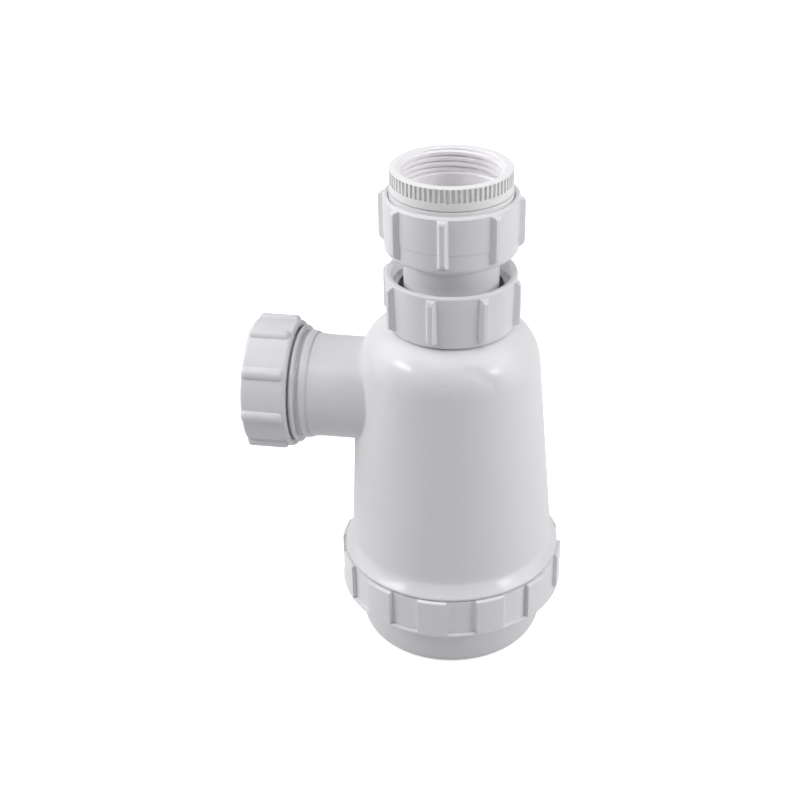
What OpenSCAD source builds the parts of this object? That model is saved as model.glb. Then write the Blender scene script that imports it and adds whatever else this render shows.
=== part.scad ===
// Telescopic bottle trap for a wash basin, in white polypropylene, in millimetres.
// The origin is the centre of the base cup's flat underside, +Z runs up the inlet,
// and the outlet points along -X.

/* [Base cup] */
// Radius over the lands of the castellated ring
land_r = 48.9; // [48:0.1:52]
// How far the lands stand out past the bowl
ring_out = 5.9; // [5:0.1:7]
// Loss of radius from the top of the bowl to its underside
bowl_draft = 3; // [1:0.5:5]
// Height of the bowl below the ring
bowl_h = 22.5; // [18:0.5:40]
// Fillet round the underside of the bowl
bowl_fillet = 6; // [2:0.5:10]
// Height of the castellated ring
ring_h = 18.1; // [16:0.1:24]
// Depth of a pocket between two lands
pocket_depth = 1.8; // [0.8:0.1:2.2]
// Full-radius band under the pockets
pocket_sill = 1.6; // [1.3:0.1:4]
// Number of lands
land_count = 12; // [8:1:18]
// Share of one pitch that a land fills
land_share = 0.5; // [0.3:0.05:0.7]
// Turn of the ring, from +X to the middle of a pocket, in degrees
ring_turn = 13.5; // [0:0.5:30]
// Wall of the cup
cup_wall = 2.6; // [2:0.1:3.5]
// Wall of the castellated ring behind a pocket
ring_wall = 2.3; // [1.8:0.1:2.6]

/* [Bottle body] */
// How far the flange stands in from the lands
flange_in = 1.7; // [1:0.1:2]
// Gap shown between the cup and the flange
parting_gap = 0.4; // [0.2:0.1:1]
// How far the flange stands out past the foot of the taper
flare_out = 3.2; // [2.6:0.1:4]
// Radius of the bottle at the top of its taper
taper_top_r = 37.2; // [35:0.1:40]
// Height from the flange to the top of the taper
taper_h = 91.5; // [88:0.5:130]
// Height of the flare between the flange and the taper
flare_h = 8; // [5:0.5:12]
// Radius of the rounded shoulder
shoulder_r = 20.7; // [19:0.1:22]
// Wall of the bottle
body_wall = 2.3; // [1.8:0.1:3]
// Outer radius of the threaded neck
neck_r = 24.2; // [23.9:0.1:25]
// Height of the neck above the shoulder
neck_h = 8.9; // [7:0.1:11]
// Length of the threaded skirt inside the cup
skirt_h = 14; // [10:0.5:15]
// Wall of that skirt
skirt_wall = 2.8; // [2:0.1:3.4]
// How far the shoulder is carried out on the outlet side
saddle_shift = 1.2; // [0.6:0.1:2]
// Distance from the axis to the upright pad below the outlet
pad_reach = 42.1; // [41:0.1:43]
// Radius of the pad's face
pad_r = 24; // [20:1:28]

/* [Outlet] */
// Height of the outlet axis above the flange
outlet_h = 74; // [67:0.5:77]
// Outer radius of the outlet tube
outlet_r = 21.9; // [21:0.1:22.2]
// Radius of the socket that takes the waste pipe
socket_r = 20.2; // [18:0.05:20.6]
// Depth of the socket
socket_l = 16; // [12:1:18]
// How far the socket narrows to its waterway
socket_step = 1; // [0.6:0.1:2]
// Distance from the bottle axis to the end of the outlet
outlet_l = 76; // [74:1:84]
// Radius of the ring behind the outlet nut
outlet_ring_r = 25.2; // [24.5:0.1:26]
// Thickness of that ring
outlet_ring_t = 1.6; // [1.2:0.1:3]
// Width of the groove behind that ring
outlet_groove_w = 1.8; // [1:0.1:3]
// Length of the swelling behind the groove
outlet_swell_l = 3.2; // [2:0.1:5]
// How far that swelling stands above the tube
outlet_swell = 1.5; // [1.2:0.1:2]
// Length of the male thread on the outlet
outlet_thread_l = 11.1; // [9:0.1:14]

/* [Telescopic tube] */
// Outer radius of the sliding tube
tube_r = 19.5; // [18.5:0.1:19.7]
// Wall of the sliding tube
tube_wall = 1.9; // [1.4:0.1:2.4]
// Length of the sliding tube
tube_l = 110; // [85:1:125]
// Bare tube that shows between the two upright nuts
tube_show = 9.8; // [9.6:0.1:60]

/* [Dip tube] */
// Wall of the dip tube
dip_wall = 1.6; // [1.2:0.1:1.8]
// Depth of the water seal, from the outlet's invert down to the dip tube's mouth
water_seal = 75; // [50:1:80]
// Thickness of the flange that rests on the neck
dip_flange_t = 1.6; // [1.2:0.1:2.5]

/* [Inlet collar] */
// Major diameter of the 1 1/4 inch pipe thread in the inlet
inlet_thread_d = 41.91; // [40:0.01:42.5]
// Depth of that thread
inlet_thread_h = 10; // [8:0.5:12]
// Depth of the plain bore below the thread
relief_h = 9.6; // [8:0.1:14]
// Outside diameter of the collar's head
collar_d = 49; // [48:0.1:52]
// Height of the head
head_h = 9.1; // [8:0.1:14]
// Height of the plain band under the knurl
band_h = 3.2; // [2:0.1:4]
// Chamfer round the rim
rim_chamfer = 0.4; // [0.2:0.1:1]
// Number of knurl grooves
knurl_count = 72; // [36:1:90]
// Depth of a knurl groove
knurl_depth = 0.8; // [0.4:0.1:1.2]
// Width of a knurl groove
knurl_w = 1.1; // [0.6:0.1:1.2]
// Radius of the male thread under the head
collar_thread_r = 24.85; // [24.6:0.05:25]
// Part of that thread that shows between the nut and the undercut
thread_show = 1.3; // [0.8:0.1:3]
// Depth of the undercut below the head
undercut = 0.9; // [0.4:0.1:1.4]

/* [Upright nuts] */
// Outer radius of the top nut
top_nut_r = 27.3; // [27:0.1:29]
// Height of the top nut
top_nut_h = 23.9; // [22:0.1:27]
// Fillet round the lower end of the top nut
top_nut_fillet = 2.4; // [1:0.1:3]
// Outer radius of the lower nut at its open top
lower_nut_r = 27; // [26.8:0.1:29]
// Loss of radius from the top of the lower nut to its foot
lower_nut_draft = 0.6; // [0:0.1:0.8]
// Depth of the lower nut below its web
lower_nut_skirt = 13.5; // [12:0.1:13.5]
// Depth of the open recess above its web
lower_nut_recess = 6.7; // [4:0.1:9]
// Wall of the recess
recess_wall = 2.4; // [1.6:0.1:3]
// Web that presses on the seal
web_t = 2.2; // [1.6:0.1:3]
// Number of ribs on an upright nut
rib_count = 8; // [4:1:10]
// How far a rib stands out
rib_out = 2.1; // [1:0.1:3]
// Width of a rib at its root
rib_root_w = 4.5; // [3:0.1:6]
// Width of a rib at its crest
rib_crest_w = 1.9; // [1:0.1:3]
// Turn of the top nut's first rib from +X, in degrees
top_rib_turn = 1.3; // [0:0.1:45]
// Turn of the lower nut's first rib from +X, in degrees
lower_rib_turn = 36.3; // [0:0.1:45]

/* [Outlet nut] */
// Outer radius of the outlet nut
outlet_nut_r = 27.2; // [27:0.1:29]
// Length of the outlet nut
outlet_nut_l = 19; // [17:0.5:24]
// Wall of the outlet nut round its thread
outlet_nut_wall = 3; // [2.4:0.1:3.4]
// Number of ribs
outlet_rib_count = 9; // [6:1:12]
// How far a rib stands out
outlet_rib_out = 1.8; // [1:0.1:2.2]
// Width of a rib at its root
outlet_rib_w = 5.2; // [4.6:0.1:7]
// Turn of the first rib above the horizontal at the front, in degrees
outlet_rib_turn = 35; // [0:1:40]

/* [Seals] */
// Thickness of a slip ring
slip_t = 1.0; // [0.8:0.1:2]
// Height of the rubber ring on the dip tube
lower_seal_h = 2.2; // [1.6:0.1:4]
// Height of the lip that hugs the tube
lip_h = 1.8; // [1:0.1:2.4]
// Thickness of that lip
lip_t = 1.3; // [1:0.1:1.5]
// Height of the tapered rubber ring under the collar
top_seal_h = 4.3; // [3:0.1:5]
// Thickness of the flat ring in the cup
base_seal_t = 2; // [1.5:0.1:3]
// Thickness of the flat ring in the inlet
inlet_washer_t = 2.4; // [1.5:0.1:3]

/* [Fits] */
// Radial gap between parts that slide or turn in each other
slide_gap = 0.3; // [0.3:0.05:0.5]
// Height of a male thread, which is drawn at its core
thread_h = 0.9; // [0.6:0.1:1.2]
// Further gap round the tube at a web or a slip ring
hole_gap = 0.3; // [0.2:0.05:0.5]
// Distance that a tapered rubber ring stands back from its seat
seal_clear = 0.15; // [0.1:0.05:0.25]

/* [Hidden] */
$fn = 96;
overlap = 1;
round_steps = 6;
shoulder_steps = 14;

// Small edges: broken corners, thread leads, corner fillets
edge_break = 0.4;
lead = 0.5;
mouth_round = 0.8;
nut_round = 1.2;
ring_fillet = 1.2;
fillet_steps = 4;
ring_break = 0.3;
tube_bevel = 0.6;
tube_lead_l = 2;
// A rib's crest falls away at both ends in two facets
crest_fall = 0.75;
crest_fall_l = 0.4;

white = [0.93, 0.93, 0.94];
cool_white = [0.87, 0.88, 0.9];
warm_white = [0.95, 0.94, 0.95];
rubber_black = [0.07, 0.07, 0.08];
nylon = [0.9, 0.9, 0.86];

// Base: the cup's ledge carries the flat seal, which carries the body's skirt
cup_top_z = bowl_h + ring_h;
flange_z = cup_top_z + parting_gap;
skirt_foot_z = flange_z - skirt_h;
ledge_z = skirt_foot_z - base_seal_t;
bowl_top_r = land_r - ring_out;
bowl_foot_r = bowl_top_r - bowl_draft;
pocket_r = land_r - pocket_depth;
cup_bore_r = pocket_r - ring_wall;
skirt_core_r = cup_bore_r - slide_gap - thread_h;
skirt_in_r = cup_bore_r - slide_gap - skirt_wall;
ledge_in_r = bowl_top_r - cup_wall;
pocket_deg = 360 / land_count * (1 - land_share);
inner_fillet = max(bowl_fillet - cup_wall, edge_break);

// Bottle: flange, flare, taper, shoulder arc and neck
flange_t = 0.8;
flare_power = 1.5;
flange_r = land_r - flange_in;
taper_foot_r = flange_r - flare_out;
taper_foot_z = flange_z + flare_h;
taper_top_z = flange_z + taper_h;
taper_slope = (taper_foot_r - taper_top_r) / (taper_top_z - taper_foot_z);
taper_deg = atan(taper_slope);
shoulder_cx = taper_top_r - shoulder_r * cos(taper_deg);
shoulder_cz = taper_top_z - shoulder_r * sin(taper_deg);
neck_foot_z = shoulder_cz + sqrt(pow(shoulder_r, 2) - pow(neck_r - shoulder_cx, 2));
neck_top_z = neck_foot_z + neck_h;
dip_bore_r = tube_r + slide_gap;
dip_r = dip_bore_r + dip_wall;
neck_bore_r = dip_r + edge_break;

// The outlet side is a second bottle, set off from the first and a little less tapered
saddle_foot_z = taper_foot_z;
saddle_foot_r = taper_foot_r - saddle_shift;
saddle_deg = atan((saddle_foot_r - taper_top_r) / (taper_top_z - saddle_foot_z));
saddle_drop = 0.5;
saddle_shoulder_r = shoulder_r - saddle_drop;
saddle_cx = taper_top_r - saddle_shoulder_r * cos(saddle_deg);
saddle_cz = taper_top_z - saddle_shoulder_r * sin(saddle_deg);

// Lower joint: dip tube flange, rubber ring, slip ring, nut web
dip_top_z = neck_top_z + dip_flange_t;
lower_slip_z = dip_top_z + lower_seal_h;
lower_web_z = lower_slip_z + slip_t;
lower_web_top_z = lower_web_z + web_t;
lower_nut_z = lower_web_z - lower_nut_skirt;
lower_nut_top_z = lower_web_top_z + lower_nut_recess;
lip_r = tube_r + slide_gap + lip_t;
lower_hole_r = lip_r + 2 * hole_gap;
lower_thread_r = neck_r + slide_gap;
joint_r = neck_r - thread_h;
lower_rib_z = lower_nut_z + 2.3;

// Upper joint, carried by the tube: nut web, slip ring, tapered ring, collar
band_in = 1;
undercut_h = 0.5;
relief_step = 0.95;
stop_t = 2;
tube_end_gap = 0.2;
seal_root_h = 1.3;
seat_wall = 1.9;
crown_w = 0.9;
slip_lap = 0.6;
washer_in = 1.6;
top_nut_z = lower_nut_top_z + tube_show;
top_slip_z = top_nut_z + web_t;
top_seal_z = top_slip_z + slip_t;
seal_seat_z = top_seal_z + top_seal_h;
top_nut_top_z = top_nut_z + top_nut_h;
top_hole_r = tube_r + slide_gap + hole_gap;
top_part_z = top_nut_z + 8.5;
top_part_step = 0.2;
top_rib_z = top_nut_z + 3;
thread_top_z = top_nut_top_z + thread_show;
head_z = thread_top_z + undercut_h;
rim_z = head_z + head_h;
knurl_z = head_z + band_h;
knurl_top_z = rim_z - rim_chamfer - 0.1;
collar_foot_z = top_seal_z + seal_root_h;
collar_r = collar_d / 2;
inlet_r = inlet_thread_d / 2;
collar_core_r = collar_thread_r - thread_h;
collar_band_z = top_nut_top_z - band_in;
top_thread_r = collar_thread_r + slide_gap;
relief_r = inlet_r - relief_step;
relief_top_z = rim_z - inlet_thread_h - mouth_round;
relief_foot_z = rim_z - inlet_thread_h - relief_h;
stop_z = relief_foot_z - stop_t;
stop_r = tube_r - tube_wall;
tube_socket_r = tube_r + slide_gap;
tube_top_z = stop_z - tube_end_gap;
tube_foot_z = tube_top_z - tube_l;
seat_mouth_r = collar_thread_r - seat_wall;
seat_crown_r = tube_socket_r + crown_w;
slip_r = seat_mouth_r + slip_lap;

// Outlet joint, measured along -X from the bottle axis
pipe_clear = 0.35;
outlet_lip = 0.7;
cone_tip_w = 0.5;
outlet_z = flange_z + outlet_h;
outlet_ring_x = outlet_l - outlet_thread_l - outlet_ring_t;
outlet_thread_x = outlet_ring_x + outlet_ring_t;
outlet_groove_x = outlet_ring_x - outlet_groove_w;
outlet_swell_x = outlet_groove_x - outlet_swell_l;
// The groove and the swelling's far end lie at one radius, with a small step to the tube
outlet_groove_r = outlet_r + outlet_swell - 0.7;
outlet_step = 0.3;
outlet_flare_r = outlet_groove_r - outlet_step;
outlet_flare_l = 7;
outlet_nut_x = outlet_thread_x + 1;
outlet_bore_r = outlet_nut_r - outlet_nut_wall;
outlet_core_r = outlet_bore_r - slide_gap - thread_h;
outlet_nut_end_x = outlet_nut_x + outlet_nut_l;
outlet_web_x = outlet_nut_end_x - web_t;
outlet_slip_x = outlet_web_x - slip_t;
outlet_hole_r = socket_r + pipe_clear;
waterway_r = socket_r - socket_step;
socket_foot_x = outlet_l - socket_l;
// The spigot's mouth is bevelled at 45 degrees, and the cone ring sits in the bevel
outlet_seat_r = outlet_core_r - outlet_lip;
outlet_seat_x = outlet_l - (outlet_seat_r - socket_r);
cone_r = outlet_seat_r - seal_clear;
cone_tip_r = outlet_hole_r + cone_tip_w;
cone_tip_x = outlet_l - (cone_r - cone_tip_r);
dip_foot_z = outlet_z - waterway_r - water_seal;

// The pad below the outlet is an upright round bar that ends inside the outlet
pad_draft = 0.046;
pad_foot_z = flange_z + flare_h / 2;
pad_top_z = outlet_z - outlet_r / 4;
pad_foot_r = pad_r + pad_draft * (outlet_z - outlet_r - pad_foot_z);
pad_top_r = pad_r - pad_draft * (pad_top_z - outlet_z + outlet_r);

// Points of an arc round [cx, cy], from angle a0 to a1
function arc(cx, cy, r, a0, a1, n = round_steps) =
    [for (i = [0 : n]) let (a = a0 + (a1 - a0) * i / n) [cx + r * cos(a), cy + r * sin(a)]];

// Radius of the bottle's taper at height z
function taper_at(z) = taper_foot_r - taper_slope * (z - taper_foot_z);

// Radius of the flare at a share t of its height, from the flange to the taper
function flare_at(z, t) =
    taper_at(z) + (flange_r - taper_at(flange_z + flange_t)) * pow(1 - t, flare_power);

// Flat ring between two radii and two heights
module ring(r_in, r_out, z0, z1) {
    rotate_extrude() translate([r_in, z0]) square([r_out - r_in, z1 - z0]);
}

// Lays a part that was drawn along +Z along the outlet, which runs towards -X
module on_outlet() {
    translate([0, 0, outlet_z]) rotate([0, -90, 0]) children();
}

// Copies its child round the axis
module around(count, turn) {
    for (i = [0 : count - 1]) rotate([0, 0, turn + i * 360 / count]) children();
}

// One grip rib, drawn upright on +X: tapered flanks, and a crest that falls at both ends
module rib(r, out, root_w, crest_w, z0, z1, slope0, slope1) {
    intersection() {
        translate([0, 0, z0]) linear_extrude(z1 - z0)
            polygon([
                [r - overlap, -root_w / 2], [r, -root_w / 2], [r + out, -crest_w / 2],
                [r + out, crest_w / 2], [r, root_w / 2], [r - overlap, root_w / 2]
            ]);
        rotate([90, 0, 0]) linear_extrude(root_w + overlap, center = true)
            polygon([
                [r - overlap, z0], [r, z0], [r + out * crest_fall, z0 + slope0 * crest_fall_l],
                [r + out, z0 + slope0], [r + out, z1 - slope1],
                [r + out * crest_fall, z1 - slope1 * crest_fall_l], [r, z1], [r - overlap, z1]
            ]);
    }
}

// One rounded grip rib, drawn upright on +X: a bar with round ends, sunk into the wall
module bead(r, out, root_w, z0, z1) {
    bow_r = (pow(root_w / 2, 2) + pow(out, 2)) / (2 * out);
    translate([r + out - bow_r, 0, 0]) rotate_extrude() polygon(concat(
        [[0, z0]],
        arc(bow_r - out, z0 + out, out, -90, 0, fillet_steps),
        arc(bow_r - out, z1 - out, out, 0, 90, fillet_steps),
        [[0, z1]]
    ));
}

// Screwed base cup: bowl, seal ledge, threaded ring with castellated grip
module base_cup() {
    color(white) difference() {
        rotate_extrude() polygon(concat(
            [[0, 0]],
            arc(bowl_foot_r - bowl_fillet, bowl_fillet, bowl_fillet, -90, 0),
            [[bowl_top_r, bowl_h]],
            arc(land_r - ring_fillet, bowl_h + ring_fillet, ring_fillet, -90, 0, fillet_steps),
            [
                [land_r, cup_top_z - edge_break], [land_r - edge_break, cup_top_z],
                [cup_bore_r, cup_top_z], [cup_bore_r, ledge_z], [ledge_in_r, ledge_z]
            ],
            arc(bowl_foot_r - cup_wall - inner_fillet, cup_wall + inner_fillet,
                inner_fillet, 0, -90),
            [[0, cup_wall]]
        ));
        around(land_count, ring_turn - pocket_deg / 2)
            rotate_extrude(angle = pocket_deg)
                translate([pocket_r, bowl_h + pocket_sill])
                    square([pocket_depth + overlap, ring_h]);
    }
}

module base_seal() {
    color(rubber_black) ring(ledge_in_r + edge_break, skirt_core_r, ledge_z, skirt_foot_z);
}

// Outside of the round bottle, from the skirt to the neck
module bottle_outside() {
    flare_foot_z = flange_z + flange_t;
    rotate_extrude() polygon(concat(
        [
            [0, skirt_foot_z], [skirt_core_r, skirt_foot_z], [skirt_core_r, flange_z],
            [flange_r, flange_z]
        ],
        [for (i = [0 : round_steps]) let (
            t = i / round_steps,
            z = flare_foot_z + t * (taper_foot_z - flare_foot_z)
        ) [flare_at(z, t), z]],
        arc(shoulder_cx, shoulder_cz, shoulder_r, taper_deg,
            acos((neck_r - shoulder_cx) / shoulder_r), shoulder_steps),
        [
            [neck_r, neck_foot_z + lead], [joint_r, neck_foot_z + lead + thread_h],
            [joint_r, neck_top_z], [0, neck_top_z]
        ]
    ));
}

// The waterway inside the round bottle
module bottle_inside() {
    inner_r = shoulder_r - body_wall;
    rotate_extrude() polygon(concat(
        [
            [0, skirt_foot_z - overlap], [skirt_in_r, skirt_foot_z - overlap],
            [skirt_in_r, flange_z], [taper_foot_r - body_wall, taper_foot_z]
        ],
        arc(shoulder_cx, shoulder_cz, inner_r, taper_deg,
            acos((neck_bore_r - shoulder_cx) / inner_r), shoulder_steps),
        [[neck_bore_r, neck_top_z + overlap], [0, neck_top_z + overlap]]
    ));
}

// The bottle on the outlet side, drawn smaller by inset for its inside
module saddle(inset) {
    translate([-saddle_shift, 0, 0]) rotate_extrude() polygon(concat(
        [[0, saddle_foot_z + inset], [saddle_foot_r - inset, saddle_foot_z + inset]],
        arc(saddle_cx, saddle_cz, saddle_shoulder_r - inset, saddle_deg, 90, shoulder_steps),
        [[0, saddle_cz + saddle_shoulder_r - inset]]
    ));
}

// Upright pad below the outlet, which runs out into the bottle towards the flange
module outlet_pad(inset) {
    translate([pad_r - pad_reach, 0, 0]) rotate_extrude() polygon([
        [0, pad_foot_z], [pad_foot_r - inset, pad_foot_z],
        [pad_top_r - inset, pad_top_z - inset], [0, pad_top_z - inset]
    ]);
}

// Outlet tube with its flare, ring and male thread
module outlet_outside() {
    on_outlet() rotate_extrude() polygon(concat(
        [[0, overlap], [outlet_r, overlap]],
        [for (i = [0 : round_steps]) let (t = i / round_steps)
            [outlet_r + (outlet_flare_r - outlet_r) * t * t,
             outlet_swell_x - outlet_flare_l * (1 - t)]],
        [
            [outlet_groove_r, outlet_swell_x], [outlet_r + outlet_swell, outlet_groove_x],
            [outlet_groove_r, outlet_groove_x], [outlet_groove_r, outlet_ring_x],
            [outlet_ring_r - ring_break, outlet_ring_x], [outlet_ring_r, outlet_ring_x + ring_break],
            [outlet_ring_r, outlet_thread_x - ring_break], [outlet_ring_r - ring_break, outlet_thread_x],
            [outlet_core_r, outlet_thread_x], [outlet_core_r, outlet_l - edge_break],
            [outlet_core_r - edge_break, outlet_l], [0, outlet_l]
        ]
    ));
}

// Waterway of the outlet, pipe socket and bevelled seat for the cone ring
module outlet_inside() {
    on_outlet() rotate_extrude() polygon([
        [0, 2 * overlap], [waterway_r, 2 * overlap], [waterway_r, socket_foot_x],
        [socket_r, socket_foot_x], [socket_r, outlet_seat_x], [outlet_seat_r, outlet_l],
        [outlet_seat_r, outlet_l + overlap], [0, outlet_l + overlap]
    ]);
}

// Bottle with skirt, neck and outlet, moulded as one piece
module trap_body() {
    color(white) difference() {
        union() {
            bottle_outside();
            saddle(0);
            outlet_pad(0);
            outlet_outside();
        }
        bottle_inside();
        saddle(body_wall);
        outlet_pad(body_wall);
        outlet_inside();
    }
}

// Fixed tube that makes the water seal; its flange hangs on the neck
module dip_tube() {
    color(white) rotate_extrude() polygon([
        [dip_bore_r, dip_foot_z], [dip_r - lead, dip_foot_z], [dip_r, dip_foot_z + tube_lead_l],
        [dip_r, neck_top_z], [joint_r, neck_top_z], [joint_r, dip_top_z], [dip_bore_r, dip_top_z]
    ]);
}

module lower_seal() {
    lip_top_z = lower_slip_z + lip_h;
    color(rubber_black) rotate_extrude() polygon([
        [dip_bore_r, dip_top_z], [joint_r, dip_top_z],
        [joint_r, lower_slip_z], [lip_r, lower_slip_z],
        [lip_r, lip_top_z - lead], [lip_r - lead, lip_top_z], [dip_bore_r, lip_top_z]
    ]);
}

module lower_slip_ring() {
    color(nylon) ring(lip_r + slide_gap, joint_r, lower_slip_z, lower_web_z);
}

// Lower nut: threaded skirt, web over the seal, open recess round the tube
module lower_nut() {
    foot_r = lower_nut_r - lower_nut_draft;
    recess_r = lower_nut_r - recess_wall;
    color(cool_white) union() {
        rotate_extrude() polygon([
            [lower_thread_r, lower_nut_z + lead], [lower_thread_r + lead, lower_nut_z],
            [foot_r - edge_break, lower_nut_z], [foot_r, lower_nut_z + edge_break],
            [lower_nut_r, lower_nut_top_z - mouth_round],
            [lower_nut_r - mouth_round / 3, lower_nut_top_z - mouth_round / 4],
            [lower_nut_r - mouth_round, lower_nut_top_z],
            [recess_r + edge_break, lower_nut_top_z], [recess_r, lower_nut_top_z - edge_break],
            [recess_r, lower_web_top_z + lead], [recess_r - lead, lower_web_top_z],
            [lower_hole_r + edge_break, lower_web_top_z],
            [lower_hole_r, lower_web_top_z - edge_break], [lower_hole_r, lower_web_z],
            [lower_thread_r, lower_web_z]
        ]);
        around(rib_count, lower_rib_turn)
            rib(foot_r, rib_out + lower_nut_draft, rib_root_w, rib_crest_w,
                lower_rib_z, lower_nut_top_z - mouth_round, 0.4, 2.2);
    }
}

// Plain sliding tube, carried by the collar above and sealed by the lower joint
module telescopic_tube() {
    color(warm_white) rotate_extrude() polygon([
        [stop_r, tube_foot_z], [tube_r - tube_bevel, tube_foot_z],
        [tube_r, tube_foot_z + tube_lead_l], [tube_r, tube_top_z - tube_bevel],
        [tube_r - tube_bevel, tube_top_z], [stop_r, tube_top_z]
    ]);
}

// Top nut: open end up, closed on the tube by a web with a rounded shoulder
module top_nut() {
    foot_r = top_nut_r - top_part_step;
    color(cool_white) union() {
        rotate_extrude() polygon(concat(
            [
                [top_hole_r, top_slip_z], [top_hole_r, top_nut_z + edge_break],
                [top_hole_r + edge_break, top_nut_z]
            ],
            arc(foot_r - top_nut_fillet, top_nut_z + top_nut_fillet, top_nut_fillet, -90, 0),
            [
                [foot_r, top_part_z], [top_nut_r, top_part_z + top_part_step],
                [top_nut_r, top_nut_top_z - mouth_round], [top_nut_r - mouth_round, top_nut_top_z],
                [top_thread_r + lead, top_nut_top_z], [top_thread_r, top_nut_top_z - lead],
                [top_thread_r, top_slip_z]
            ]
        ));
        around(rib_count, top_rib_turn)
            rib(foot_r, rib_out + top_part_step, rib_root_w, rib_crest_w,
                top_rib_z, top_nut_top_z - mouth_round, 2, 1.4);
    }
}

module top_slip_ring() {
    color(nylon) ring(top_hole_r, slip_r, top_slip_z, top_seal_z);
}

module top_seal() {
    color(rubber_black) rotate_extrude() polygon([
        [tube_socket_r, top_seal_z], [seat_mouth_r, top_seal_z],
        [seat_mouth_r, collar_foot_z - seal_clear], [seat_mouth_r - seal_clear, collar_foot_z],
        [seat_crown_r, seal_seat_z - seal_clear], [tube_socket_r, seal_seat_z - seal_clear]
    ]);
}

// Inlet collar: knurled head with the inlet thread, male thread and seal seat below
module inlet_collar() {
    color(warm_white) difference() {
        rotate_extrude() polygon([
            [seat_mouth_r, collar_foot_z], [collar_core_r - edge_break, collar_foot_z],
            [collar_core_r, collar_foot_z + edge_break], [collar_core_r, collar_band_z - thread_h],
            [collar_thread_r, collar_band_z], [collar_thread_r, thread_top_z],
            [collar_r - undercut, thread_top_z], [collar_r - undercut, head_z],
            [collar_r, head_z], [collar_r, rim_z - rim_chamfer],
            [collar_r - rim_chamfer, rim_z], [inlet_r + lead, rim_z], [inlet_r, rim_z - lead],
            [inlet_r, rim_z - inlet_thread_h], [relief_r, relief_top_z],
            [relief_r, relief_foot_z], [stop_r, relief_foot_z], [stop_r, stop_z],
            [tube_socket_r, stop_z], [tube_socket_r, seal_seat_z],
            [seat_crown_r, seal_seat_z]
        ]);
        around(knurl_count, 0)
            translate([collar_r - knurl_depth, -knurl_w / 2, knurl_z])
                cube([2 * knurl_depth, knurl_w, knurl_top_z - knurl_z]);
    }
}

module inlet_washer() {
    color(nylon) ring(stop_r - washer_in, relief_r - slide_gap,
        relief_foot_z, relief_foot_z + inlet_washer_t);
}

// Cone ring round the waste pipe, seated in the spigot's bevel
module outlet_seal() {
    color(rubber_black) on_outlet() rotate_extrude() polygon([
        [outlet_hole_r, cone_tip_x], [cone_tip_r, cone_tip_x], [cone_r, outlet_l],
        [cone_r, outlet_slip_x], [outlet_hole_r, outlet_slip_x]
    ]);
}

module outlet_slip_ring() {
    color(nylon) on_outlet()
        ring(outlet_hole_r, outlet_core_r, outlet_slip_x, outlet_web_x);
}

// Outlet nut: open end towards the bottle, closed on the pipe by its web
module outlet_nut() {
    color(cool_white) on_outlet() difference() {
        union() {
            rotate_extrude() polygon(concat(
                [[0, outlet_nut_x]],
                arc(outlet_nut_r - nut_round, outlet_nut_x + nut_round, nut_round, -90, 0, fillet_steps),
                arc(outlet_nut_r - nut_round, outlet_nut_end_x - nut_round, nut_round, 0, 90,
                    fillet_steps),
                [[0, outlet_nut_end_x]]
            ));
            around(outlet_rib_count, outlet_rib_turn - 90)
                bead(outlet_nut_r, outlet_rib_out, outlet_rib_w,
                    outlet_nut_x + nut_round, outlet_nut_end_x);
        }
        rotate_extrude() polygon([
            [0, outlet_nut_x - overlap], [outlet_bore_r + lead, outlet_nut_x - overlap],
            [outlet_bore_r + lead, outlet_nut_x], [outlet_bore_r, outlet_nut_x + lead],
            [outlet_bore_r, outlet_web_x], [outlet_hole_r, outlet_web_x],
            [outlet_hole_r, outlet_nut_end_x - lead], [outlet_hole_r + lead, outlet_nut_end_x],
            [outlet_hole_r + lead, outlet_nut_end_x + overlap], [0, outlet_nut_end_x + overlap]
        ]);
    }
}

base_cup();
base_seal();
trap_body();
dip_tube();
lower_seal();
lower_slip_ring();
lower_nut();
telescopic_tube();
top_nut();
top_slip_ring();
top_seal();
inlet_collar();
inlet_washer();
outlet_seal();
outlet_slip_ring();
outlet_nut();
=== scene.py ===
import math

import bpy
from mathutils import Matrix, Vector


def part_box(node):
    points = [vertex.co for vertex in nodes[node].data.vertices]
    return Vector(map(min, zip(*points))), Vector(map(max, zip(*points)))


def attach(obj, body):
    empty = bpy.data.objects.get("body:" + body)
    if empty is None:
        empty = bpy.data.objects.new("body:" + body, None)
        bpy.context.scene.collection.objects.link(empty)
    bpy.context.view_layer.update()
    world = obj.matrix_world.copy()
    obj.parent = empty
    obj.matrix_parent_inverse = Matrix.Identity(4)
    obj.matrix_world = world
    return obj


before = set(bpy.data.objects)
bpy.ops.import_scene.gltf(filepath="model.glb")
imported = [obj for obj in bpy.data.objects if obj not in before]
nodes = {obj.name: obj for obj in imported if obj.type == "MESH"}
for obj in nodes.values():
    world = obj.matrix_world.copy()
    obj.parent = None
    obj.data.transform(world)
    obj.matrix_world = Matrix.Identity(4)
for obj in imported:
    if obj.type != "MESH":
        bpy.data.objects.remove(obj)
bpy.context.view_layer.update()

MM = 0.001
TAU = 2 * math.pi

# Camera: solved from the ellipses of the rim and of the cup's parting line
IMAGE_W = 800
FOCAL_PX = 1450
AXIS_COLUMN_PX = 451.5
SENSOR_MM = 36
CAMERA_DISTANCE = 617 * MM
CAMERA_PITCH = math.radians(30)
CAMERA_YAW = math.radians(8.5)
AIM_Z = 112 * MM
CLIP_START = 10 * MM

# Inlet thread, 1 1/4 inch pipe size, moulded a little shallow with broad flat crests, between
# two depths under the rim
PIPE_PITCH = 2.309 * MM
PIPE_MAJOR_R = 20.955 * MM
PIPE_CREST_R = 19.9 * MM
PIPE_FOOT_W = 2.1 * MM
PIPE_CREST_W = 1.3 * MM
PIPE_LOW = 9.6 * MM
PIPE_HIGH = 1.2 * MM
PIPE_TURN = math.radians(40)

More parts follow.
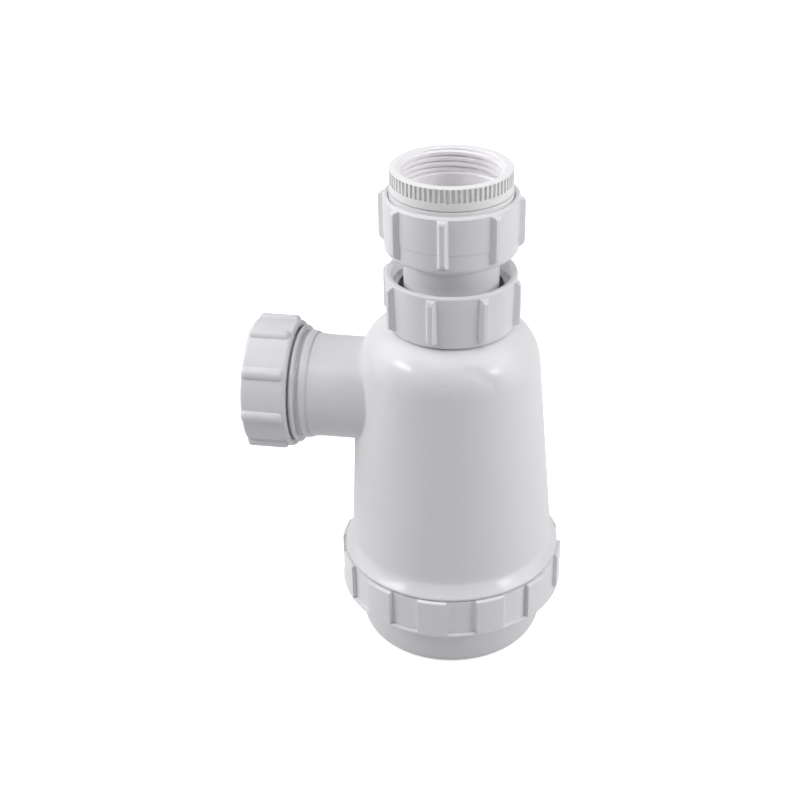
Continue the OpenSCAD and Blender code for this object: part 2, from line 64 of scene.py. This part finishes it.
# Male threads: the height of a ridge above its core, the widths of its foot and crest as
# shares of the pitch, and the pitches of the nuts and of the cup
THREAD_H = 0.9 * MM
FOOT_SHARE = 0.7
CREST_SHARE = 0.25
NUT_PITCH = 3 * MM
CUP_PITCH = 4 * MM
NECK_CORE_R = 23.3 * MM
COLLAR_CORE_R = 23.95 * MM
SPIGOT_CORE_R = 23.0 * MM
SKIRT_CORE_R = 43.6 * MM
OUTLET_Z = 115 * MM

# All ridges: the steps in a turn, the turn's share in which a ridge rises, its least height as
# a share of the full one, and how far its foot is sunk into the wall
TURN_STEPS = 96
FADE_TURNS = 0.3
LEAST_HEIGHT = 0.02
FOOT_SINK = 0.08 * MM

# The rubber lip round the tube, above the lower nut's web: radii and heights in millimetres
WIPER_SECTION = (
    (19.75, 164.3), (21.0, 164.3), (21.3, 164.8), (21.3, 166.9), (20.9, 167.3), (19.75, 167.3),
)

# Marks on the bottle's front: the flare's lip between two heights, then rings as x, z, radius,
# line and depth in millimetres, and creases as points of x and z with a width and a depth,
# which fade out at a share of the way from their middle to their ends, over another share
FRONT_Y = -10 * MM
LIP_Z0 = 41.4 * MM
LIP_Z1 = 47.6 * MM
LIP_RISE = 1.8 * MM
RINGS = (
    (1.5, 135.6, 2.6, 0.8, 0.06),
    (2.7, 53.5, 2.0, 0.8, 0.03),
    (-51.7, 118.7, 0.4, 0.8, 0.06),
)
CREASES = (
    (((10.6, 143.6), (13.8, 142.7), (17.3, 140.6), (20.9, 137.7), (22.8, 135.0)), 2.8, 0.2),
    (((-19.3, 96.0), (-9.0, 90.9), (9.7, 82.3), (31.7, 62.6)), 2.4, 0.02),
)
CREASE_END = 0.95
CREASE_BLUR = 0.6

# The plastic's gloss is a thin coat on a matt body, so it stays low where it is seen edge on
GLOSS_WEIGHT = 0.3
GLOSS_IOR = 2.0
ROUGH_BELOW = 0.03
ROUGH_ABOVE = 0.04

# Sizes of the plastic's noises, with the depths of the two that dent it
CLOUD = 14 * MM
SPECK = 1.1 * MM
SINK_MARK, SINK_DEPTH = 11 * MM, 0.12 * MM
GRAIN, GRAIN_DEPTH = 0.5 * MM, 0.003 * MM

# Light inside the plastic: its share and reach in a plain wall, and its tint
SOFT_SHARE = 0.08
SOFT_REACH = 1.5 * MM
SOFT_TINT = (1.0, 0.9, 0.95)

# The lower nut's open recess: its wall, the height above which its walls and floor take a lighter
# colour as painted glow for light that comes through and bounces inside, and the height from which
# light comes through the wall, with the light's least and full share and its reach
RECESS_R = 24.6 * MM
RECESS_GLOW_Z = 164.4 * MM
THIN_Z = 167 * MM
THIN_SHARES = (0.02, 0.9)
THIN_REACH = 40 * MM

# The foot of the collar's hole, above which its wall takes a lighter colour as painted glow for
# light bouncing inside, and how far the painted lighter wall reaches past its own radius
HOLE_FOOT_Z = 198 * MM
PAINTED_GLOW_MARGIN = 0.3 * MM

NUT_TONES = (0.785, 0.785, 0.805), (0.76, 0.765, 0.79)

# Studio: a pale floor whose glow rises to white about a distance from the axis, over a width,
# faint light from all round, and lamps as place, size, watts and colour
FLOOR_HALF = 1.5
FLOOR_DROP = 0.02 * MM
FLOOR_TINT = (0.62, 0.62, 0.63, 1)
FLOOR_GLOW = (0.8, 1.0)
FLOOR_FADE_R = 0.32
FLOOR_FADE_W = 0.4
SKY_TINT = (0.97, 0.98, 1.0, 1)
SKY_STRENGTH = 0.03
WHITE = (1, 1, 1, 1)
PLAIN = (1, 1, 1)
COOL = (0.95, 0.965, 1.0)
LAMP_AIM = Vector((0, 0, 0.11))
LAMPS = (
    ("left_box", (-0.9, 0, 0.45), (0.6, 1.2), 3.0, PLAIN),
    ("right_box", (0.9, 0, 0.45), (0.6, 1.2), 4.0, PLAIN),
    ("left_high", (-0.7, 0.05, 0.85), (0.9, 0.9), 4.2, PLAIN),
    ("right_high", (0.7, 0.05, 0.85), (0.9, 0.9), 2.8, PLAIN),
    ("left_key", (-0.7, -0.42, 0.68), (0.4, 0.13), 2.2, PLAIN),
    ("right_key", (0.8, -0.33, 0.6), (0.24, 0.11), 1.2, PLAIN),
    ("front_box", (0.08, -0.36, 1.02), (0.9, 0.4), 1.9, COOL),
)


def clean_scene():
    """Sets the view and removes what Blender starts with."""
    scene = bpy.context.scene
    scene.view_settings.view_transform = "Standard"
    for name in ("Cube", "Light", "Camera"):
        if name in bpy.data.objects:
            bpy.data.objects.remove(bpy.data.objects[name])


def link(piece):
    bpy.context.scene.collection.objects.link(piece)


def look_along(place, aim):
    """The turn that points a camera or a lamp from place to aim."""
    return (aim - Vector(place)).to_track_quat("-Z", "Y").to_euler()


def add_camera():
    """The photograph's view: 30 degrees down, with the trap a little right of the middle."""
    data = bpy.data.cameras.new("photo_camera")
    data.sensor_fit = "HORIZONTAL"
    data.sensor_width = SENSOR_MM
    data.lens = SENSOR_MM * FOCAL_PX / IMAGE_W
    data.shift_x = (IMAGE_W / 2 - AXIS_COLUMN_PX) / IMAGE_W
    data.clip_start = CLIP_START
    camera = bpy.data.objects.new("photo_camera", data)
    link(camera)
    aim = Vector((0, 0, AIM_Z))
    back = CAMERA_DISTANCE * math.cos(CAMERA_PITCH)
    camera.location = aim + Vector((
        back * math.sin(CAMERA_YAW),
        -back * math.cos(CAMERA_YAW),
        CAMERA_DISTANCE * math.sin(CAMERA_PITCH),
    ))
    camera.rotation_euler = look_along(camera.location, aim)
    bpy.context.scene.camera = camera


class Graph:
    """A node tree, with short calls to add and join nodes."""

    def __init__(self, tree):
        self.tree = tree
        tree.nodes.clear()

    def add(self, kind, **inputs):
        node = self.tree.nodes.new("ShaderNode" + kind)
        for key, value in inputs.items():
            self.put(node.inputs[key.replace("_", " ")], value)
        return node

    def put(self, socket, value):
        if isinstance(value, bpy.types.NodeSocket):
            self.tree.links.new(value, socket)
        else:
            socket.default_value = value

    def where(self):
        return self.add("TexCoord").outputs["Object"]

    def seen(self):
        """1 for the rays that show the background: straight on, mirrored or through glass."""
        path = self.add("LightPath")
        seen = path.outputs["Is Camera Ray"]
        for ray in ("Is Glossy Ray", "Is Transmission Ray"):
            seen = self.math("MAXIMUM", seen, path.outputs[ray])
        return seen

    def ramp(self, value, low, high):
        """value from 0 to 1 becomes a number from low to high."""
        return self.add("MapRange", Value=value, To_Min=low, To_Max=high).outputs["Result"]

    def span(self, value, low, high):
        """0 at low and 1 at high, in a straight rise."""
        return self.add("MapRange", Value=value, From_Min=low, From_Max=high).outputs["Result"]

    def step(self, value, edge, blur):
        """0 below edge and 1 above it, with a smooth rise blur wide."""
        low, high = edge - blur / 2, edge + blur / 2
        node = self.add("MapRange", Value=value, From_Min=low, From_Max=high)
        node.interpolation_type = "SMOOTHSTEP"
        return node.outputs["Result"]

    def noise(self, where, size, detail=2.0):
        """Noise with features of about size metres."""
        return self.add("TexNoise", Vector=where, Scale=1 / size, Detail=detail).outputs["Fac"]

    def bump(self, height, depth, normal=None):
        node = self.add("Bump", Height=height, Distance=depth, Strength=1.0)
        if normal is not None:
            self.put(node.inputs["Normal"], normal)
        return node.outputs["Normal"]

    def math(self, kind, a, b=0.0):
        node = self.add("Math")
        node.operation = kind
        self.put(node.inputs[0], a)
        self.put(node.inputs[1], b)
        return node.outputs[0]

    def times(self, a, b):
        return self.math("MULTIPLY", a, b)

    def flip(self, value):
        """0 becomes 1 and 1 becomes 0."""
        return self.math("SUBTRACT", 1.0, value)

    def vector(self, kind, a, b=(0, 0, 0), result="Vector"):
        node = self.add("VectorMath")
        node.operation = kind
        self.put(node.inputs[0], a)
        self.put(node.inputs[1], b)
        return node.outputs[result]

    def dot(self, a, b):
        return self.vector("DOT_PRODUCT", a, b, "Value")

    def length(self, a):
        return self.vector("LENGTH", a, result="Value")

    def off_axis(self, where):
        """Distance from the upright axis."""
        return self.length(self.vector("MULTIPLY", where, (1, 1, 0)))

    def height(self, where):
        return self.dot(where, (0, 0, 1))

    def mix(self, factor, a, b):
        node = self.add("Mix")
        node.data_type = "RGBA"
        for socket, value in (("Factor", factor), ("A", a), ("B", b)):
            self.put(node.inputs[socket], value)
        return node.outputs["Result"]

    def surface(self, shader):
        self.add("OutputMaterial", Surface=shader.outputs[0])


def new_material(name):
    material = bpy.data.materials.new(name)
    material.use_nodes = True
    return material, Graph(material.node_tree)


def moulded_plastic(name, colour, shade, roughness=0.24, edge=0.4 * MM, inside=None,
                    thin_z=None, marks=None):
    """Satin polypropylene: a faint cloud in the colour, mould grain and soft sink marks.

    inside is (radius, lowest z, colour): walls within that radius and above that height take a
    lighter colour, a painted glow that stands in for light coming through and bouncing inside them.
    Above thin_z light comes through them. edge is the radius of soft edges."""
    material, g = new_material(name)
    where = g.where()
    cloud = g.noise(where, CLOUD, 3.0)
    speck = g.noise(where, SPECK)
    tint = g.mix(g.ramp(cloud, 0.0, 0.5), (*colour, 1), (*shade, 1))
    share, reach = SOFT_SHARE, SOFT_REACH
    # Painted glow: a lighter colour on the inner walls stands in for light coming through and
    # bouncing inside them
    if inside:
        radius, low_z, light = inside
        within = g.flip(g.step(g.off_axis(where), radius, 0.4 * MM))
        painted_glow_wall = g.times(within, g.step(g.height(where), low_z, 2 * MM))
        tint = g.mix(painted_glow_wall, tint, (*light, 1))
        if thin_z:
            thin = g.times(within, g.step(g.height(where), thin_z, 1 * MM))
            share, reach = g.ramp(thin, *THIN_SHARES), THIN_REACH
    rounded = g.add("Bevel", Radius=edge)
    rounded.samples = 6
    normal = g.bump(g.noise(where, SINK_MARK, 1.0), SINK_DEPTH, rounded.outputs["Normal"])
    if marks:
        normal = marks(g, where, normal)
    normal = g.bump(g.noise(where, GRAIN), GRAIN_DEPTH, normal)
    g.surface(g.add(
        "BsdfPrincipled",
        Base_Color=tint,
        Roughness=g.ramp(speck, roughness - ROUGH_BELOW, roughness + ROUGH_ABOVE),
        Normal=normal,
        Specular_IOR_Level=0.0,
        Coat_Weight=GLOSS_WEIGHT,
        Coat_IOR=GLOSS_IOR,
        Coat_Roughness=roughness,
        Coat_Normal=normal,
        Subsurface_Weight=share,
        Subsurface_Radius=SOFT_TINT,
        Subsurface_Scale=reach,
    ))
    return material


def bottle_marks(g, where, normal):
    """The flare's lip, the gate's ring, a fainter ring, a pip, a crease and a flow line."""
    lip = g.flip(g.span(g.height(where), LIP_Z0, LIP_Z1))
    outer = g.step(g.off_axis(where), SKIRT_CORE_R, 0.5 * MM)
    normal = g.bump(g.times(lip, outer), LIP_RISE, normal)
    front = g.flip(g.step(g.dot(where, (0, 1, 0)), FRONT_Y, 4 * MM))
    face = g.vector("MULTIPLY", where, (1, 0, 1))
    for x, z, radius, width, depth in RINGS:
        away = g.length(g.vector("SUBTRACT", face, (x * MM, 0, z * MM)))
        off = g.math("ABSOLUTE", g.math("SUBTRACT", away, radius * MM))
        near = g.flip(g.step(off, width * MM / 2, width * MM))
        normal = g.bump(g.times(near, front), -depth * MM, normal)
    for points, width, depth in CREASES:
        points = [Vector((x, 0, z)) * MM for x, z in points]
        off = 1.0
        for start, end in zip(points, points[1:]):
            run = end - start
            from_start = g.vector("SUBTRACT", face, start)
            along = g.math("MAXIMUM", g.dot(from_start, run.normalized()), 0.0)
            along = g.math("MINIMUM", along, run.length)
            foot = g.vector("MULTIPLY", run.normalized(), along)
            off = g.math("MINIMUM", g.length(g.vector("SUBTRACT", from_start, foot)), off)
        near = g.flip(g.step(off, width * MM / 2, width * MM))
        first, last = points[0], points[-1]
        half = (last - first).length / 2
        from_mid = g.length(g.vector("SUBTRACT", face, (first + last) / 2))
        ends = g.step(from_mid, CREASE_END * half, CREASE_BLUR * half)
        near = g.times(near, g.flip(ends))
        normal = g.bump(g.times(near, front), -depth * MM, normal)
    return normal


def seal_rubber():
    """Matt black rubber with a dusty bloom and a fine pebble."""
    material, g = new_material("seal_rubber")
    where = g.where()
    bloom = g.noise(where, 3 * MM, 3.0)
    g.surface(g.add(
        "BsdfPrincipled",
        Base_Color=g.mix(bloom, (0.006, 0.006, 0.008, 1), (0.022, 0.022, 0.026, 1)),
        Roughness=g.ramp(bloom, 0.6, 0.8),
        Normal=g.bump(g.noise(where, 0.4 * MM), 0.02 * MM),
    ))
    return material


def dress(names, material):
    for name in names:
        mesh = nodes[name].data
        mesh.materials.clear()
        mesh.materials.append(material)


def upright(x, y, z):
    return x, y, z


def on_outlet(x, y, z):
    """Lays a point that was drawn along +Z on the outlet's axis, which runs towards -X."""
    return -z, y, x + OUTLET_Z


def solid(name, vertices, faces, body, material):
    """A closed mesh that rides on one of the joints' bodies."""
    mesh = bpy.data.meshes.new(name)
    mesh.from_pydata(vertices, [], faces)
    mesh.validate()
    piece = bpy.data.objects.new(name, mesh)
    link(piece)
    bpy.ops.object.select_all(action="DESELECT")
    bpy.context.view_layer.objects.active = piece
    piece.select_set(True)
    bpy.ops.object.mode_set(mode="EDIT")
    bpy.ops.mesh.select_all(action="SELECT")
    bpy.ops.mesh.normals_make_consistent(inside=False)
    bpy.ops.object.mode_set(mode="OBJECT")
    mesh.materials.append(material)
    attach(piece, body)
    return piece


def joined(rows, size, closed):
    """Four-sided faces between rows of size vertices each, and back to the first row if closed."""
    faces = []
    for i in range(rows if closed else rows - 1):
        here, beyond = i * size, (i + 1) % rows * size
        for k in range(size):
            after = (k + 1) % size
            faces.append((here + k, here + after, beyond + after, beyond + k))
    return faces


def helix_ridge(name, body, material, wall_r, crest_r, z0, z1, pitch, foot_w, crest_w,
                turn0=0.0, place=upright):
    """A screw thread's ridge on a wall of radius wall_r, from z0 up to z1. It fades at its ends."""
    turns = (z1 - z0) / pitch
    steps = round(turns * TURN_STEPS)
    sunk_r = wall_r + math.copysign(FOOT_SINK, wall_r - crest_r)
    foot, crest = foot_w / 2, crest_w / 2
    vertices = []
    for i in range(steps + 1):
        at = i / TURN_STEPS
        height = max(LEAST_HEIGHT, min(1.0, at / FADE_TURNS, (turns - at) / FADE_TURNS))
        r = wall_r + (crest_r - wall_r) * height
        a = turn0 + TAU * at
        z = z0 + at * pitch
        section = ((sunk_r, -foot), (wall_r, -foot), (r, -crest),
                   (r, crest), (wall_r, foot), (sunk_r, foot))
        for radius, dz in section:
            vertices.append(place(radius * math.cos(a), radius * math.sin(a), z + dz))
    size = len(section)
    faces = joined(steps + 1, size, closed=False)
    faces.append(tuple(range(size))[::-1])
    faces.append(tuple(steps * size + k for k in range(size)))
    return solid(name, vertices, faces, body, material)


def spun_ring(name, body, material, section):
    """A ring round the upright axis; its section is a loop of radii and heights."""
    vertices = [
        (r * math.cos(TAU * i / TURN_STEPS), r * math.sin(TAU * i / TURN_STEPS), z)
        for i in range(TURN_STEPS) for r, z in section
    ]
    faces = joined(TURN_STEPS, len(section), closed=True)
    return solid(name, vertices, faces, body, material)


def area_light(name, place, size, watts, colour):
    data = bpy.data.lights.new(name, "AREA")
    data.shape = "RECTANGLE"
    data.size, data.size_y = size
    data.energy = watts
    data.color = colour
    lamp = bpy.data.objects.new(name, data)
    link(lamp)
    lamp.location = place
    lamp.rotation_euler = look_along(place, LAMP_AIM)


def studio_world():
    """Even soft light on the object, and plain white where the camera sees past it."""
    world = bpy.data.worlds.new("studio")
    bpy.context.scene.world = world
    world.use_nodes = True
    g = Graph(world.node_tree)
    light = g.add("Background", Color=SKY_TINT, Strength=SKY_STRENGTH)
    white = g.add("Background", Color=WHITE)
    mix = g.add("MixShader", Fac=g.seen())
    g.put(mix.inputs[1], light.outputs[0])
    g.put(mix.inputs[2], white.outputs[0])
    g.add("OutputWorld", Surface=mix.outputs[0])


def studio_floor():
    """A pale floor that reads as white, apart from the object's faint shadow on it."""
    material, g = new_material("studio_floor")
    far = g.step(g.off_axis(g.where()), FLOOR_FADE_R, FLOOR_FADE_W)
    matt = g.add("BsdfDiffuse", Color=FLOOR_TINT)
    glow = g.add("Emission", Color=WHITE, Strength=g.times(g.seen(), g.ramp(far, *FLOOR_GLOW)))
    both = g.add("AddShader")
    g.put(both.inputs[0], matt.outputs[0])
    g.put(both.inputs[1], glow.outputs[0])
    g.surface(both)
    corners = [(x * FLOOR_HALF, y * FLOOR_HALF, -FLOOR_DROP)
               for x, y in ((-1, -1), (1, -1), (1, 1), (-1, 1))]
    mesh = bpy.data.meshes.new("studio_floor")
    mesh.from_pydata(corners, [], [(0, 1, 2, 3)])
    mesh.materials.append(material)
    floor = bpy.data.objects.new("studio_floor", mesh)
    link(floor)


clean_scene()
add_camera()

body_white = moulded_plastic(
    "body_white", (0.80, 0.80, 0.815), (0.77, 0.77, 0.80),
    roughness=0.21, edge=2.0 * MM, marks=bottle_marks,
)
cup_white = moulded_plastic("cup_white", (0.83, 0.83, 0.845), (0.80, 0.80, 0.83), edge=0.9 * MM)
nut_white = moulded_plastic("nut_white", *NUT_TONES)
# Painted glow: the recess's walls and floor take a lighter colour for light coming through the thin
# wall and bouncing inside
recess_nut = moulded_plastic(
    "recess_nut_white", *NUT_TONES,
    inside=(RECESS_R + PAINTED_GLOW_MARGIN, RECESS_GLOW_Z, (0.95, 0.95, 0.98)), thin_z=THIN_Z,
)
tube_white = moulded_plastic("tube_white", (0.83, 0.815, 0.835), (0.81, 0.795, 0.82))
# Painted glow: the hole's wall above its foot takes a lighter colour for light bouncing inside it
collar_white = moulded_plastic(
    "collar_white", (0.875, 0.87, 0.875), (0.855, 0.845, 0.855),
    inside=(PIPE_MAJOR_R + PAINTED_GLOW_MARGIN, HOLE_FOOT_Z, (0.965, 0.94, 0.97)),
)
slip_nylon = moulded_plastic("slip_nylon", (0.8, 0.8, 0.76), (0.77, 0.77, 0.72))
rubber = seal_rubber()
dress(["trap_body", "dip_tube"], body_white)
dress(["base_cup"], cup_white)
dress(["top_nut", "outlet_nut"], nut_white)
dress(["lower_nut"], recess_nut)
dress(["telescopic_tube"], tube_white)
dress(["inlet_collar"], collar_white)
dress(["lower_slip_ring", "top_slip_ring", "outlet_slip_ring", "inlet_washer"], slip_nylon)
dress(["base_seal", "lower_seal", "top_seal", "outlet_seal"], rubber)

rim_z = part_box("inlet_collar")[1].z
inlet_thread = helix_ridge(
    "inlet_thread", "collar", collar_white, PIPE_MAJOR_R, PIPE_CREST_R,
    rim_z - PIPE_LOW, rim_z - PIPE_HIGH, PIPE_PITCH, PIPE_FOOT_W, PIPE_CREST_W, PIPE_TURN,
)

for name, body, material, slot, core_r, z0, z1, pitch, place in (
    ("neck_thread", "trap", body_white, "body_plastic",
     NECK_CORE_R, 152.4 * MM, 158.0 * MM, NUT_PITCH, upright),
    ("skirt_thread", "trap", body_white, "body_plastic",
     SKIRT_CORE_R, 28.6 * MM, 39.6 * MM, CUP_PITCH, upright),
    ("spigot_thread", "trap", body_white, "body_plastic",
     SPIGOT_CORE_R, 66.1 * MM, 74.6 * MM, NUT_PITCH, on_outlet),
    ("collar_thread", "collar", collar_white, "tube_plastic",
     COLLAR_CORE_R, 188.2 * MM, 203.2 * MM, NUT_PITCH, upright),
):
    ridge = helix_ridge(
        name, body, material, core_r, core_r + THREAD_H, z0, z1, pitch,
        FOOT_SHARE * pitch, CREST_SHARE * pitch, place=place,
    )

wiper = spun_ring("wiper_lip", "trap", rubber, [(r * MM, z * MM) for r, z in WIPER_SECTION])

studio_world()
studio_floor()
for lamp in LAMPS:
    area_light(*lamp)
